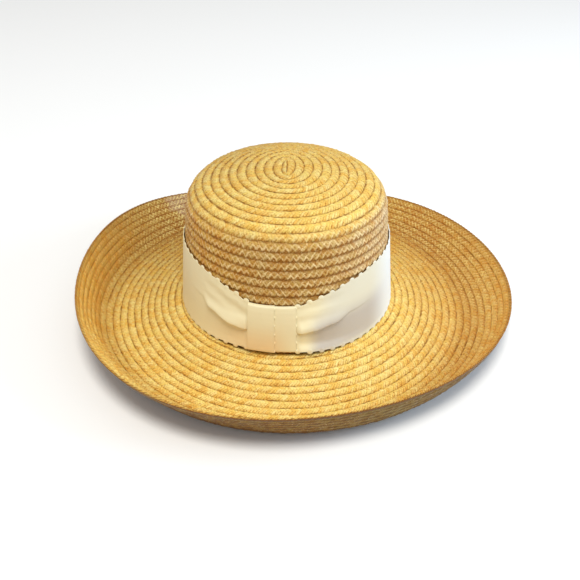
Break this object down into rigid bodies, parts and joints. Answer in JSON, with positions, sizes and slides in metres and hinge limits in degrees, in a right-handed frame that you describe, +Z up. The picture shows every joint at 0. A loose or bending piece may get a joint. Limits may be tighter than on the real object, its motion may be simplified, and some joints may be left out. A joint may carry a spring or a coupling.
{
  "type": "boater hat",
  "caption": "Sewn straw hat with a round-shouldered crown, a wide brim turned up at its rim, and a gathered ivory ribbon with a flat folded knot.",
  "frame": {"origin": "on the surface the hat rests on, under the middle of its outline", "axes": "+Z up out of the crown, -Y towards the knot, +X to the right when facing the knot"},
  "size_m": [0.3652, 0.4018, 0.127],
  "materials": {
    "straw": "plaited wheat straw, natural golden colour, satin sheen",
    "ribbon": "ivory satin ribbon with picot edges, soft sheen"
  },
  "bodies": {
    "root": {"crown": "straw", "brim": "straw", "band": "ribbon", "knot": "ribbon"}
  },
  "joints": []
}
